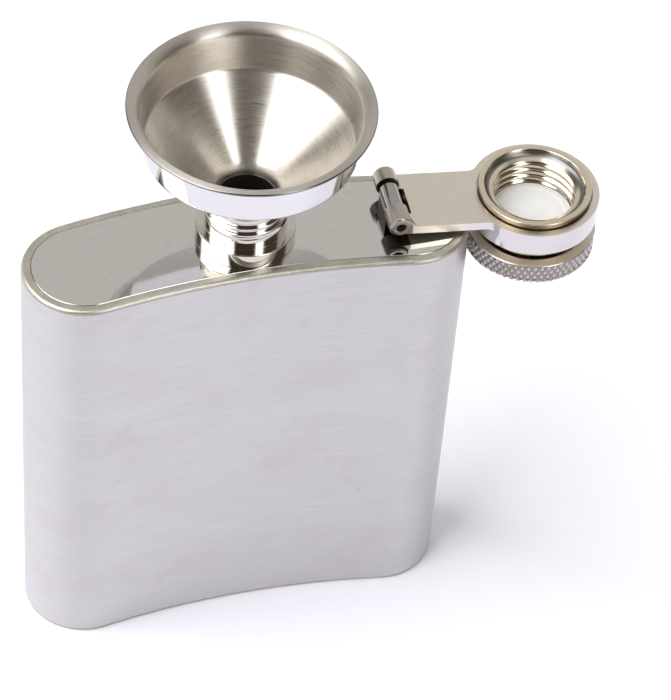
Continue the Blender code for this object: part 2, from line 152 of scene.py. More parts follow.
def rounded(corners, steps=5, support=0.06 * MM):
    """Turns (x, z, fillet radius) corners of a closed outline into points, with a support point beside each
    fillet, so that the flats shade flat."""
    points = []
    count = len(corners)
    for i, (x, z, radius) in enumerate(corners):
        here = Vector((x, z))
        before = Vector(corners[i - 1][:2]) - here
        after = Vector(corners[(i + 1) % count][:2]) - here
        if radius <= 0 or x == 0:
            points.append((x, z))
            continue
        to_before, to_after = before.normalized(), after.normalized()
        half = math.acos(max(-1.0, min(1.0, to_before.dot(to_after)))) / 2
        if half > math.radians(88):
            points.append((x, z))
            continue
        back_off = radius / math.tan(half)
        limit = 0.48 * min(before.length, after.length)
        if back_off > limit:
            radius *= limit / back_off
            back_off = limit
        centre = here + (to_before + to_after).normalized() * (radius / math.sin(half))
        start = here + to_before * back_off
        end = here + to_after * back_off
        start_angle = math.atan2(start.y - centre.y, start.x - centre.x)
        sweep = math.atan2(end.y - centre.y, end.x - centre.x) - start_angle
        sweep = (sweep + math.pi) % TAU - math.pi
        if before.length > 2 * back_off + 3 * support:
            points.append(tuple(start + to_before * support))
        for step in range(steps + 1):
            angle = start_angle + sweep * step / steps
            points.append((centre.x + radius * math.cos(angle), centre.y + radius * math.sin(angle)))
        if after.length > 2 * back_off + 3 * support:
            points.append(tuple(end + to_after * support))
    return points


def ring_faces(sizes, closed):
    """Quads between consecutive rings, where a ring of size 1 is a pole."""
    starts = [sum(sizes[:i]) for i in range(len(sizes))]
    pairs = list(zip(range(len(sizes) - 1), range(1, len(sizes))))
    if closed:
        pairs.append((len(sizes) - 1, 0))
    faces = []
    for low, high in pairs:
        count = max(sizes[low], sizes[high])
        for i in range(count):
            j = (i + 1) % count
            corners = [
                starts[low] + i % sizes[low],
                starts[low] + j % sizes[low],
                starts[high] + j % sizes[high],
                starts[high] + i % sizes[high],
            ]
            faces.append(list(dict.fromkeys(corners)))
    return faces


def build_mesh(name, rings, closed):
    """A mesh from rings of points, with its faces pointing out."""
    points = [point for ring in rings for point in ring]
    mesh = bpy.data.meshes.new(name)
    mesh.from_pydata(points, [], ring_faces([len(ring) for ring in rings], closed))
    outward(mesh)
    return mesh


def outward(mesh):
    """Turns a closed mesh's faces to point out."""
    shell = bmesh.new()
    shell.from_mesh(mesh)
    bmesh.ops.recalc_face_normals(shell, faces=shell.faces)
    shell.to_mesh(mesh)
    shell.free()


def turned_mesh(name, profile, axis, steps=TURN_STEPS, shift=None, turns=None):
    """A turned mesh. The profile holds (radius, height) points. shift(radius, height, turn) may move a
    point's radius, for threads and knurls. turns may give the places round the axis, from 0 to 1."""
    turns = turns or [step / steps for step in range(steps)]
    rings = []
    for radius, height in profile:
        if radius == 0:
            rings.append([(axis[0], axis[1], height)])
            continue
        ring = []
        for turn in turns:
            reach = radius + (shift(radius, height, turn) if shift else 0.0)
            east, north = math.cos(TAU * turn), math.sin(TAU * turn)
            ring.append((axis[0] + reach * east, axis[1] + reach * north, height))
        rings.append(ring)
    return build_mesh(name, rings, closed=profile[0][0] != 0)


def spread(start, end, count):
    """Evenly spaced numbers from start to end."""
    return [start + (end - start) * i / count for i in range(count + 1)]


def thread_form(turns):
    """A rolled thread's depth over one pitch: 0 on a rounded crest, 1 in a rounded root."""
    wave = 0.5 - 0.5 * math.cos(TAU * turns)
    return wave * wave * (3 - 2 * wave)


def thread_shift(at, start, end, depth, lead=0.5):
    """A shift for turned_mesh that cuts a helical thread into the surface at one radius, between two heights.
    The thread fades at both ends."""

    def shift(radius, height, turn):
        inside = min(height - start, end - height)
        if inside < 0 or abs(radius - at) > TOUCH:
            return 0.0
        fade = min(1.0, inside / (lead * THREAD_PITCH))
        return depth * fade * thread_form(height / THREAD_PITCH - turn)

    return shift


def finer(outline, radius, step):
    """Adds points along an outline's upright part at one radius, at most step apart."""
    points = []
    for here, after in zip(outline, outline[1:] + outline[:1]):
        points.append(here)
        if abs(here[0] - radius) > TOUCH or abs(after[0] - radius) > TOUCH:
            continue
        count = math.ceil(abs(after[1] - here[1]) / step)
        points += [(radius, here[1] + (after[1] - here[1]) * i / count) for i in range(1, count)]
    return points


def arc_points(centre, radius, start, end, steps):
    """Points along an arc, without the last one."""
    angles = [start + (end - start) * i / steps for i in range(steps)]
    return [(centre[0] + radius * math.cos(a), centre[1] + radius * math.sin(a)) for a in angles]


def body_outline(inset, end_steps=56, side_steps=44):
    """The flask's plan outline, moved inwards by inset."""
    back_y = -math.sqrt((BACK_RADIUS - END_RADIUS) ** 2 - END_CENTRE_X**2)
    front_y = -math.sqrt((FRONT_RADIUS + END_RADIUS) ** 2 - END_CENTRE_X**2)
    to_back = math.atan2(-back_y, END_CENTRE_X)
    to_front = math.atan2(-front_y, END_CENTRE_X)
    radius = END_RADIUS - inset
    right = arc_points((END_CENTRE_X, 0), radius, to_front - math.pi, to_back, end_steps)
    back = arc_points((0, back_y), BACK_RADIUS - inset, to_back, math.pi - to_back, side_steps)
    left = arc_points((-END_CENTRE_X, 0), radius, math.pi - to_back, TAU - to_front, end_steps)
    front = arc_points((0, front_y), FRONT_RADIUS + inset, math.pi - to_front, to_front, side_steps)
    return right + back + left + front


def outline_mesh(name, section, closed, wobble=None):
    """A mesh that follows the flask's outline; its section holds (inset, height) points. It gets a UV map in
    metres: distance round the body, and height."""
    rings = []
    for inset, height in section:
        ring = []
        for x, y in body_outline(inset):
            dx, dy, dz = wobble(x, y, inset, height) if wobble else (0.0, 0.0, 0.0)
            ring.append((x + dx, y + dy, height + dz))
        rings.append(ring)
    mesh = build_mesh(name, rings, closed)
    add_outline_uv(mesh)
    return mesh


def add_outline_uv(mesh):
    """UVs in metres: the angle-like distance round the flask, and height."""
    layer = mesh.uv_layers.new(name="Round")
    reference = body_outline(0.0)
    lengths = [0.0]
    for here, after in zip(reference, reference[1:] + reference[:1]):
        lengths.append(lengths[-1] + math.dist(here, after))
    count = len(reference)
    for polygon in mesh.polygons:
        columns = [mesh.loops[i].vertex_index % count for i in polygon.loop_indices]
        wraps = max(columns) - min(columns) > count / 2
        for loop_index, column in zip(polygon.loop_indices, columns):
            place = lengths[count] if wraps and column == 0 else lengths[column]
            height = mesh.vertices[mesh.loops[loop_index].vertex_index].co.z
            layer.data[loop_index].uv = (place, height)


def closed_outline_plate(name, inset, low, high, edge, hole=None):
    """A flat plate inside the flask's outline, with a rounded upper edge and an optional round hole."""
    section = [(inset, low), (inset, high - edge)]
    for i in range(1, 5):
        angle = math.pi / 2 * i / 4
        section.append((inset + edge * (1 - math.cos(angle)), high - edge + edge * math.sin(angle)))
    rings = [[(x, y, height) for x, y in body_outline(place)] for place, height in section]
    mesh = bpy.data.meshes.new(name)
    shell = bmesh.new()
    vertices = [[shell.verts.new(point) for point in ring] for ring in rings]
    count = len(vertices[0])
    for lower, upper in zip(vertices, vertices[1:]):
        for i in range(count):
            j = (i + 1) % count
            shell.faces.new((lower[i], lower[j], upper[j], upper[i]))
    for ring, height in ((vertices[0], low), (vertices[-1], high)):
        if hole is None:
            shell.faces.new(ring)
            continue
        centre, radius = hole
        circle = arc_points(centre, radius, 0, TAU, HOLE_STEPS)
        inner = [shell.verts.new((*point, height)) for point in circle]
        edges = [shell.edges.get((ring[i], ring[(i + 1) % count])) for i in range(count)]
        edges += [shell.edges.new((inner[i], inner[(i + 1) % HOLE_STEPS])) for i in range(HOLE_STEPS)]
        bmesh.ops.triangle_fill(shell, edges=edges, use_beauty=True)
        if height == low:
            lower_hole = inner
        else:
            for i in range(HOLE_STEPS):
                j = (i + 1) % HOLE_STEPS
                shell.faces.new((lower_hole[i], inner[i], inner[j], lower_hole[j]))
    bmesh.ops.recalc_face_normals(shell, faces=shell.faces)
    shell.to_mesh(mesh)
    shell.free()
    return mesh


# ---------------------------------------------------------------- material tools

class Graph:
    """A short way to write a node tree."""

    def __init__(self, tree):
        self.tree = tree

    def node(self, kind, inputs=None, **settings):
        made = self.tree.nodes.new(kind)
        for key, value in settings.items():
            setattr(made, key, value)
        for key, value in (inputs or {}).items():
            self.feed(made.inputs[key], value)
        return made

    def feed(self, socket, value):
        if isinstance(value, bpy.types.NodeSocket):
            self.tree.links.new(value, socket)
        else:
            socket.default_value = value

    def math(self, operation, first, second=0.0, third=0.0):
        inputs = {0: first, 1: second, 2: third}
        return self.node("ShaderNodeMath", inputs, operation=operation).outputs[0]

    def times(self, first, second):
        return self.math("MULTIPLY", first, second)

    def vector(self, operation, first, second=(0.0, 0.0, 0.0)):
        return self.node("ShaderNodeVectorMath", {0: first, 1: second}, operation=operation).outputs[0]

    def split(self, vector):
        return self.node("ShaderNodeSeparateXYZ", {0: vector}).outputs

    def join(self, x, y, z):
        return self.node("ShaderNodeCombineXYZ", {0: x, 1: y, 2: z}).outputs[0]

    def noise(self, vector, scale=1.0, detail=2.0, rough=0.5, w=None):
        settings = {"noise_dimensions": "4D"} if w is not None else {}
        inputs = {"Vector": vector, "Scale": scale, "Detail": detail, "Roughness": rough}
        if w is not None:
            inputs["W"] = w
        return self.node("ShaderNodeTexNoise", inputs, **settings).outputs["Fac"]

    def span(self, value, low, high, to_low=0.0, to_high=1.0, smooth=False):
        made = self.node("ShaderNodeMapRange", {0: value, 1: low, 2: high, 3: to_low, 4: to_high})
        made.interpolation_type = "SMOOTHSTEP" if smooth else "LINEAR"
        return made.outputs[0]

    def mix(self, share, first, second, blend="MIX"):
        made = self.node("ShaderNodeMix", {0: share}, data_type="RGBA", blend_type=blend)
        self.feed(made.inputs[6], (*first, 1.0) if isinstance(first, tuple) else first)
        self.feed(made.inputs[7], (*second, 1.0) if isinstance(second, tuple) else second)
        return made.outputs[2]

    def bump(self, height, distance, strength=1.0, under=None):
        inputs = {"Height": height, "Distance": distance, "Strength": strength}
        if under is not None:
            inputs["Normal"] = under
        return self.node("ShaderNodeBump", inputs).outputs["Normal"]


def new_metal(name, metallic=1.0):
    """An empty material with a Principled shader, and its graph."""
    material = bpy.data.materials.new(name)
    material.use_nodes = True
    tree = material.node_tree
    tree.nodes.clear()
    graph = Graph(tree)
    shader = graph.node("ShaderNodeBsdfPrincipled", {"Metallic": metallic})
    graph.node("ShaderNodeOutputMaterial", {"Surface": shader.outputs[0]})
    return material, graph, shader


def dress(graph, shader, colour, rough, normal=None):
    """Feeds a shader its colour, roughness and normal."""
    graph.feed(shader.inputs["Base Color"], colour)
    graph.feed(shader.inputs["Roughness"], rough)
    if normal is not None:
        graph.feed(shader.inputs["Normal"], normal)


def place_of(graph):
    """The point's place in the CAD frame."""
    return graph.node("ShaderNodeTexCoord").outputs["Object"]


def flat_dot(graph, first, second):
    """The dot product of two vectors' first two parts."""
    parts = [graph.times(one, other) for one, other in zip(first[:2], second[:2])]
    return graph.math("ADD", *parts)


def blend_grain(graph, fine, wide, share):
    """Two noises in one, with the given share of the finer."""
    return graph.math("ADD", graph.times(fine, share), graph.times(wide, 1 - share))


def round_axis(graph, axis):
    """Distance from a vertical axis, height, and the direction from the axis as two numbers."""
    x, y, z = graph.split(graph.vector("SUBTRACT", place_of(graph), (*axis, 0.0)))
    radius = graph.math("SQRT", flat_dot(graph, (x, y), (x, y)))
    safe = graph.math("MAXIMUM", radius, 1e-5)
    return radius, z, graph.math("DIVIDE", x, safe), graph.math("DIVIDE", y, safe)


def turned_grain(graph, axis, width, sweep, detail=2.0):
    """Noise in fine rings about an axis, as a tool or a brush leaves them. width is a line's width in metres,
    and sweep is how often the noise changes round the axis."""
    radius, height, east, north = round_axis(graph, axis)
    across = graph.math("DIVIDE", radius, width)
    along = graph.math("DIVIDE", height, width)
    vector = graph.join(across, along, graph.times(east, sweep))
    return graph.noise(vector, detail=detail, w=graph.times(north, sweep))


def stretched_noise(graph, vector, sizes, detail=2.0, rough=0.5):
    """Noise whose features have the given sizes along the vector's axes."""
    scaled = graph.vector("DIVIDE", vector, sizes)
    return graph.noise(scaled, detail=detail, rough=rough)


def shade(graph, share, colour, lightest, darkest):
    """The colour, lighter and darker by two factors as share goes from 1 to 0."""
    dark = tuple(min(1.0, channel * darkest) for channel in colour)
    light = tuple(min(1.0, channel * lightest) for channel in colour)
    return graph.mix(share, dark, light)


# ---------------------------------------------------------------- materials

def brushed_wrap():
    """Satin steel with fine horizontal brush lines, faint clouds and stains, and a few pinhead marks."""
    material, graph, shader = new_metal("brushed_wrap")
    place = graph.node("ShaderNodeUVMap", uv_map="Round").outputs[0]
    fine = stretched_noise(graph, place, (9 * MM, 0.10 * MM, MM), 2.0)
    lines = stretched_noise(graph, place, (30 * MM, 0.45 * MM, MM), 3.0)
    clouds = stretched_noise(graph, place, (14 * MM, 9 * MM, MM), 4.0, 0.62)
    grain = blend_grain(graph, fine, lines, 0.6)
    colour = shade(graph, graph.span(grain, 0.32, 0.68), (0.60, 0.588, 0.596), 1.08, 0.88)
    warm = graph.span(clouds, 0.45, 0.68, smooth=True)
    colour = graph.mix(graph.times(warm, 0.35), colour, (0.565, 0.545, 0.535))
    stains = stretched_noise(graph, place, (11 * MM, 8 * MM, MM), 4.0, 0.6)
    stain = graph.span(stains, 0.58, 0.70, 0.0, 0.15, smooth=True)
    colour = graph.mix(stain, colour, (0.43, 0.385, 0.35))
    specks = stretched_noise(graph, place, (1.1 * MM, 1.0 * MM, MM), 1.0)
    speck = graph.span(specks, 0.78, 0.81)
    colour = graph.mix(graph.times(speck, 0.5), colour, (0.30, 0.29, 0.29))
    rough = graph.span(grain, 0.3, 0.7, 0.40, 0.50)
    rough = graph.math("ADD", rough, graph.span(clouds, 0.3, 0.7, -0.03, 0.03))
    brush(graph, shader, 0.6)
    dress(graph, shader, colour, rough, graph.bump(grain, 0.006 * MM, 0.6))
    return material


def ground_weld():
    """The rim's weld, ground by hand: speckled, dull, yellowish grey, and dark where it meets the wrap."""
    material, graph, shader = new_metal("ground_weld")
    place = graph.node("ShaderNodeUVMap", uv_map="Round").outputs[0]
    where = place_of(graph)
    specks = stretched_noise(graph, where, (0.28 * MM, 0.28 * MM, 0.28 * MM), 3.0, 0.65)
    along = stretched_noise(graph, place, (5 * MM, 0.25 * MM, MM), 2.0)
    lumps = stretched_noise(graph, where, (2.6 * MM, 2.6 * MM, 2.6 * MM), 3.0)
    grain = blend_grain(graph, specks, along, 0.7)
    colour = shade(graph, graph.span(grain, 0.32, 0.68), (0.56, 0.535, 0.46), 1.22, 0.70)
    colour = graph.mix(graph.span(lumps, 0.42, 0.7, 0.0, 0.55), colour, (0.45, 0.425, 0.35))
    height = graph.split(where)[2]
    depth = graph.math("MINIMUM", height, graph.math("SUBTRACT", TOP, height))
    seam = graph.span(depth, RIM_JOINT - 0.2 * MM, RIM_JOINT - 0.03 * MM, 0.0, 0.75)
    colour = graph.mix(seam, colour, (0.13, 0.115, 0.095))
    rough = graph.span(grain, 0.3, 0.7, 0.30, 0.46)
    bump = graph.bump(lumps, 0.12 * MM, 0.4)
    dress(graph, shader, colour, rough, graph.bump(grain, 0.02 * MM, 0.8, bump))
    return material


def buffed_plate():
    """Flat steel, buffed to a hazy mirror, a little wavy, with faint wipe marks."""
    material, graph, shader = new_metal("buffed_plate")
    place = place_of(graph)
    haze = stretched_noise(graph, place, (9 * MM, 6 * MM, 6 * MM), 3.0)
    fine = stretched_noise(graph, place, (0.9 * MM, 0.3 * MM, 0.3 * MM), 3.0, 0.6)
    waves = stretched_noise(graph, place, (16 * MM, 11 * MM, 11 * MM), 1.0)
    colour = shade(graph, graph.span(fine, 0.3, 0.7), (0.64, 0.625, 0.60), 1.04, 0.95)
    rough = graph.span(haze, 0.3, 0.7, 0.05, 0.09)
    bump = graph.bump(waves, 0.10 * MM, 0.25)
    dress(graph, shader, colour, rough, graph.bump(fine, 0.002 * MM, 0.5, bump))
    return material


def turned_metal(name, colour, axis, smooth, coarse, line=0.10 * MM, spin=2.0, bump=0.002):
    """Metal with fine rings round an axis, as a lathe leaves it."""
    material, graph, shader = new_metal(name)
    fine = turned_grain(graph, axis, line, spin)
    wide = turned_grain(graph, axis, 6 * line, spin / 2)
    grain = blend_grain(graph, fine, wide, 0.65)
    contrast = 0.12 * min(1.0, coarse / 0.3)
    tone = shade(graph, graph.span(grain, 0.3, 0.7), colour, 1 + contrast / 2, 1 - contrast)
    rough = graph.span(grain, 0.3, 0.7, smooth, coarse)
    dress(graph, shader, tone, rough, graph.bump(grain, bump * MM, 0.5))
    return material


def bracket_steel():
    """Polished steel, darkened nearly to black towards its foot as painted shade for the leaf under the arm's
    notch.
    """
    material, graph, shader = new_metal("bracket_steel")
    spots = stretched_noise(graph, place_of(graph), (0.8 * MM, 0.8 * MM, 0.8 * MM), 2.0)
    height = graph.split(place_of(graph))[2]
    # Painted shade: below the knuckle the leaf turns nearly black, as if in shadow under the notch.
    foot = graph.span(height, HINGE.z - 1.5 * MM, HINGE.z - 0.9 * MM, 1.0, 0.0, smooth=True)
    colour = shade(graph, graph.span(spots, 0.3, 0.7), (0.40, 0.385, 0.37), 1.05, 0.92)
    colour = graph.mix(foot, colour, (0.06, 0.045, 0.038))
    rough = graph.span(spots, 0.3, 0.7, 0.05, 0.10)
    dress(graph, shader, colour, graph.math("MULTIPLY_ADD", foot, 0.3, rough))
    return material


def spun_bowl():
    """The bowl is brushed in rings inside, dull on its lip, and polished outside, with a painted shadow on
    the outside under the lip.
    """
    material, graph, shader = new_metal("spun_bowl")
    fine = turned_grain(graph, NECK_AXIS, 0.05 * MM, 6.0)
    wide = turned_grain(graph, NECK_AXIS, 0.3 * MM, 3.0)
    grain = blend_grain(graph, fine, wide, 0.7)
    height, east, north = round_axis(graph, NECK_AXIS)[1:]
    normal = graph.split(graph.node("ShaderNodeNewGeometry").outputs["True Normal"])
    outwards = flat_dot(graph, (east, north), (normal[0], normal[1]))
    inside = graph.span(outwards, 0.25, 0.45, 1.0, 0.0)
    brushed = shade(graph, graph.span(grain, 0.3, 0.7), (0.62, 0.585, 0.535), 1.12, 0.78)
    # Painted shadow: on the outside, the top of the bowl under the turned-out lip is darkened.
    lip_shadow = graph.span(height, BOWL_HIGH.z - 1.1 * MM, BOWL_HIGH.z - 0.7 * MM)
    polished = graph.mix(lip_shadow, (0.70, 0.69, 0.71), (0.24, 0.225, 0.21))
    colour = graph.mix(inside, polished, brushed)
    lip = graph.span(height, BOWL_HIGH.z - 1.0 * MM, BOWL_HIGH.z - 0.5 * MM, 0.0, 0.14)
    rough = graph.math("ADD", graph.span(grain, 0.3, 0.7, 0.24, 0.36), lip)
    rough = graph.times(rough, graph.span(inside, 0.0, 1.0, 0.28, 1.0))
    brush(graph, shader, graph.times(inside, 0.9))
    dress(graph, shader, colour, rough, graph.bump(grain, 0.003 * MM, 0.5))
    return material


def brush(graph, shader, strength):
    """Spreads reflections across brush lines that run round a vertical axis."""
    tangent = graph.node("ShaderNodeTangent", direction_type="RADIAL", axis="Z").outputs[0]
    graph.feed(shader.inputs["Anisotropic"], strength)
    graph.feed(shader.inputs["Anisotropic Rotation"], 0.25)
    graph.feed(shader.inputs["Tangent"], tangent)


def satin_arm():
    """Warm satin steel, darker on the knuckles, with painted shade on their undersides; the upright sides
    beyond the flask's rim are polished.
    """
    material, graph, shader = new_metal("satin_arm")
    place = place_of(graph)
    fine = stretched_noise(graph, place, (0.9 * MM, 0.10 * MM, 0.10 * MM), 3.0)
    soft = stretched_noise(graph, place, (5 * MM, 4 * MM, 4 * MM), 2.0)
    across, upright = graph.split(graph.node("ShaderNodeNewGeometry").outputs["Normal"])[1:]
    flat = graph.span(graph.math("ABSOLUTE", upright), 0.70, 0.97, smooth=True)
    x, y = graph.split(graph.vector("SUBTRACT", place, tuple(HINGE)))[:2]
    along = flat_dot(graph, (x, y), ARM_DIRECTION)
    knuckle = graph.span(along, KNUCKLE_RADIUS + 0.1 * MM, KNUCKLE_RADIUS + 0.4 * MM, 1.0, 0.0)
    flat = graph.math("MAXIMUM", flat, graph.span(along, 10.5 * MM, 12 * MM, 1.0, 0.0))
    colour = shade(graph, graph.span(fine, 0.3, 0.7), (0.76, 0.705, 0.61), 1.03, 0.95)
    colour = graph.mix(graph.span(soft, 0.35, 0.7, 0.0, 0.25), colour, (0.68, 0.635, 0.55))
    end_face = graph.span(graph.math("ABSOLUTE", across), 0.75, 0.95, 0.55, 0.75)
    colour = graph.mix(graph.times(knuckle, end_face), colour, (0.24, 0.215, 0.18))
    # Painted shade: the knuckles' undersides are darkened towards near black.
    under = graph.span(upright, -0.15, 0.2, 1.0, 0.0, smooth=True)
    colour = graph.mix(graph.times(knuckle, under), colour, (0.12, 0.10, 0.085))
    bright = shade(graph, soft, (0.64, 0.615, 0.625), 1.03, 0.95)
    colour = graph.mix(flat, bright, colour)
    satin = graph.span(fine, 0.3, 0.7, 0.28, 0.36)
    polished = graph.span(soft, 0.3, 0.7, 0.10, 0.16)
    difference = graph.math("SUBTRACT", satin, polished)
    rough = graph.math("MULTIPLY_ADD", difference, flat, polished)
    beneath = graph.span(upright, -0.9, -0.6, 0.3, 0.0)
    rough = graph.math("ADD", rough, beneath)
    dress(graph, shader, colour, rough, graph.bump(fine, 0.002 * MM, 0.4))
    return material


def turned_cup():
    """Warm polished steel, duller in the mouth's chamfer and on the lip's side, with a painted dark
    reflection in the chamfer and a painted brown reflection on the lip's side.
    """
    material, graph, shader = new_metal("turned_cup")
    grain = turned_grain(graph, CAP_AXIS, 0.10 * MM, 2.0)
    radius, height = round_axis(graph, CAP_AXIS)[:2]
    below = graph.math("SUBTRACT", CUP_HIGH.z, height)
    lip = CUP_HIGH.x - CAP_AXIS[0]
    chamfer = graph.span(radius, 8.35 * MM, 8.75 * MM, 1.0, 0.0, smooth=True)
    chamfer = graph.times(chamfer, graph.span(radius, 7.65 * MM, 7.95 * MM, smooth=True))
    chamfer = graph.times(chamfer, graph.span(below, 0.1 * MM, 0.45 * MM, smooth=True))
    side = graph.span(radius, lip - 0.12 * MM, lip - 0.03 * MM)
    side = graph.times(side, graph.span(below, 0.08 * MM, 0.22 * MM))
    colour = shade(graph, graph.span(grain, 0.3, 0.7), (0.72, 0.645, 0.52), 1.04, 0.93)
    # Painted reflections: the chamfer is darkened to blue-grey and the lip's side to brown.
    colour = graph.mix(graph.times(chamfer, 0.9), colour, (0.15, 0.155, 0.16))
    colour = graph.mix(graph.times(side, 0.85), colour, (0.27, 0.20, 0.125))
    dull = graph.math("MAXIMUM", chamfer, side)
    rough = graph.span(grain, 0.3, 0.7, 0.10, 0.16)
    rough = graph.math("MULTIPLY_ADD", dull, 0.2, rough)
    dress(graph, shader, colour, rough, graph.bump(grain, 0.002 * MM, 0.5))
    return material


def knurled_edge():
    """Grey steel with painted shade in the knurl grooves; the knob's flat faces are turned and dull."""
    material, graph, shader = new_metal("knurled_edge")
    radius = round_axis(graph, CAP_AXIS)[0]
    outer = (KNOB_HIGH.x - KNOB_LOW.x) / 2
    groove = graph.span(radius, outer - KNURL_DEPTH, outer - 0.35 * KNURL_DEPTH, 1.0, 0.0)
    spots = stretched_noise(graph, place_of(graph), (0.9 * MM, 0.9 * MM, 0.9 * MM), 2.0)
    upright = graph.split(graph.node("ShaderNodeNewGeometry").outputs["True Normal"])[2]
    flat = graph.span(graph.math("ABSOLUTE", upright), 0.85, 0.95)
    colour = shade(graph, graph.span(spots, 0.35, 0.65), (0.55, 0.515, 0.495), 1.06, 0.90)
    # Painted shade: the knurl grooves are darkened towards dark brown.
    colour = graph.mix(graph.times(groove, 0.8), colour, (0.17, 0.145, 0.135))
    colour = graph.mix(flat, colour, (0.80, 0.74, 0.64))
    rough = graph.span(spots, 0.3, 0.7, 0.24, 0.36)
    dress(graph, shader, colour, graph.math("MULTIPLY_ADD", flat, 0.24, rough))
    return material


def white_liner():
    """Soft white plastic with a faint ring where it has pressed on the neck."""
    material, graph, shader = new_metal("white_liner", metallic=0.0)
    radius = round_axis(graph, CAP_AXIS)[0]
    from_press = graph.math("ABSOLUTE", graph.math("SUBTRACT", radius, PRESS_RADIUS))
    press = graph.span(from_press, 0.0, 0.5 * MM, 1.0, 0.0)
    clouds = stretched_noise(graph, place_of(graph), (3 * MM, 3 * MM, 3 * MM), 3.0)
    colour = shade(graph, graph.span(clouds, 0.3, 0.7), (0.81, 0.815, 0.805), 1.02, 0.96)
    colour = graph.mix(graph.times(press, 0.18), colour, (0.70, 0.69, 0.66))
    rough = graph.span(clouds, 0.3, 0.7, 0.38, 0.50)
    graph.feed(shader.inputs["Subsurface Weight"], 0.15)
    graph.feed(shader.inputs["Subsurface Radius"], (1.0, 1.0, 1.0))
    graph.feed(shader.inputs["Subsurface Scale"], 0.6 * MM)
    bump = graph.bump(press, 0.08 * MM, 0.6)
    dress(graph, shader, colour, rough, graph.bump(clouds, 0.02 * MM, 0.4, bump))
    return material


# ---------------------------------------------------------------- body

def make_body():
    """The wrap, its two welded rims and the two plates."""
    wrap = brushed_wrap()
    weld = ground_weld()
    plate = buffed_plate()
    low, high = RIM_JOINT, TOP - RIM_JOINT
    section = [(0.0, z) for z in spread(low, high, 24)] + [(WALL, high), (WALL, low)]
    mesh = outline_mesh("wrap_shell", section, closed=True)
    add_piece("wrap_shell", mesh, "flask", "body_wrap", [wrap])

    rims = (("rim_top", "top_rim_weld", TOP, -1), ("rim_base", "base_rim_weld", 0.0, 1))
    for name, node, edge, inwards in rims:
        mesh = outline_mesh(name, rim_section(edge, inwards), closed=True, wobble=rim_wobble(edge))
        add_piece(name, mesh, "flask", node, [weld])

    inset = WELD_WIDTH + CREASE_WIDTH
    hole = (NECK_AXIS, PLATE_HOLE)
    mesh = closed_outline_plate("plate_top", inset, PLATE_LOW.z, TOP, 0.15 * MM, hole)
    add_piece("plate_top", mesh, "flask", "top_plate", [plate])
    mesh = closed_outline_plate("plate_base", inset, 0.05 * MM, 0.9 * MM, 0.1 * MM)
    add_piece("plate_base", mesh, "flask", "base_plate", [plate])


def rim_section(edge, inwards):
    """A rim's section as (inset, height): a ground outer rounding and a flat land as wide as the weld."""
    depth = 2.2 * MM
    inner = 0.9 * MM
    section = [(inner, edge + inwards * depth), (inner, edge + inwards * (RIM_JOINT + 0.03 * MM))]
    for i in range(9):
        angle = math.pi / 2 * i / 8
        inset = WELD_ROUNDING * (1 - math.cos(angle))
        section.append((inset, edge + inwards * RIM_JOINT * (1 - math.sin(angle))))
    section += [(inset, edge) for inset in spread(WELD_ROUNDING, WELD_WIDTH, 4)[1:-1]]
    lip = 0.06 * MM
    for i in range(3):
        angle = math.pi / 2 * i / 2
        inset = WELD_WIDTH - lip * (1 - math.sin(angle))
        section.append((inset, edge + inwards * lip * (1 - math.cos(angle))))
    section.append((WELD_WIDTH, edge + inwards * depth))
    return section


def rim_wobble(edge):
    """Hand grinding leaves the rounded edge a little uneven."""

    def wobble(x, y, inset, height):
        near = max(0.0, 1.0 - abs(height - edge) / RIM_JOINT)
        place = Vector((x, y, 0.0)) / (5 * MM)
        lift = noise.noise(place) + 0.5 * noise.noise(place * 2.7)
        inwards = -1.0 if edge > 0 else 1.0
        return 0.0, 0.0, inwards * near * 0.06 * MM * (0.5 + 0.5 * lift)

    return wobble


def make_neck():
    """The turned bush: a polished collar, a plain neck and a rolled thread."""
    start, end = TOP + 5.0 * MM, NECK_HIGH.z - 0.2 * MM
    foot, shoulder = TOP + 0.04 * MM, TOP + COLLAR_HEIGHT
    outline = rounded([
        (NECK_BORE, NECK_LOW.z, 0.1 * MM),
        (SPIGOT_RADIUS, NECK_LOW.z, 0.1 * MM),
        (SPIGOT_RADIUS, foot, 0),
        (COLLAR_RADIUS, foot, 0.1 * MM),
        (COLLAR_RADIUS, shoulder, 0.18 * MM),
        (NECK_RADIUS, shoulder, 0.06 * MM),
        (NECK_RADIUS, NECK_HIGH.z, 0.15 * MM),
        (NECK_BORE, NECK_HIGH.z, 0.2 * MM),
    ])
    outline = finer(outline, NECK_RADIUS, THREAD_PITCH / 18)
    shift = thread_shift(NECK_RADIUS, start, end, -THREAD_DEPTH, lead=0.9)
    mesh = turned_mesh("neck_bush", outline, NECK_AXIS, shift=shift)
    material = turned_metal("polished_neck", (0.61, 0.575, 0.52), NECK_AXIS, 0.04, 0.08)
    add_piece("neck_bush", mesh, "flask", "threaded_neck", [material])


# ---------------------------------------------------------------- hinge and arm

def carve(name, base, tools, bevel):
    """Joins meshes to a base mesh, or cuts them from it, then rounds the sharp edges."""
    helpers = []
    for mesh in [base] + [tool[1] for tool in tools]:
        helper = bpy.data.objects.new(name, mesh)
        bpy.context.scene.collection.objects.link(helper)
        helpers.append(helper)
    made = helpers[0]
    for tool, helper in zip(tools, helpers[1:]):
        join = made.modifiers.new("Join", "BOOLEAN")
        join.operation = tool[0]
        join.solver = "EXACT"
        join.object = helper
    weld = made.modifiers.new("Weld", "WELD")
    weld.merge_threshold = 0.004 * MM
    rounding = made.modifiers.new("Round", "BEVEL")
    rounding.width = bevel
    rounding.segments = 3
    rounding.limit_method = "ANGLE"
    rounding.angle_limit = math.radians(35)
    bpy.context.view_layer.update()
    evaluated = made.evaluated_get(bpy.context.evaluated_depsgraph_get())
    result = bpy.data.meshes.new_from_object(evaluated)
    for helper in helpers:
        bpy.data.objects.remove(helper)
    result.name = name
    return result


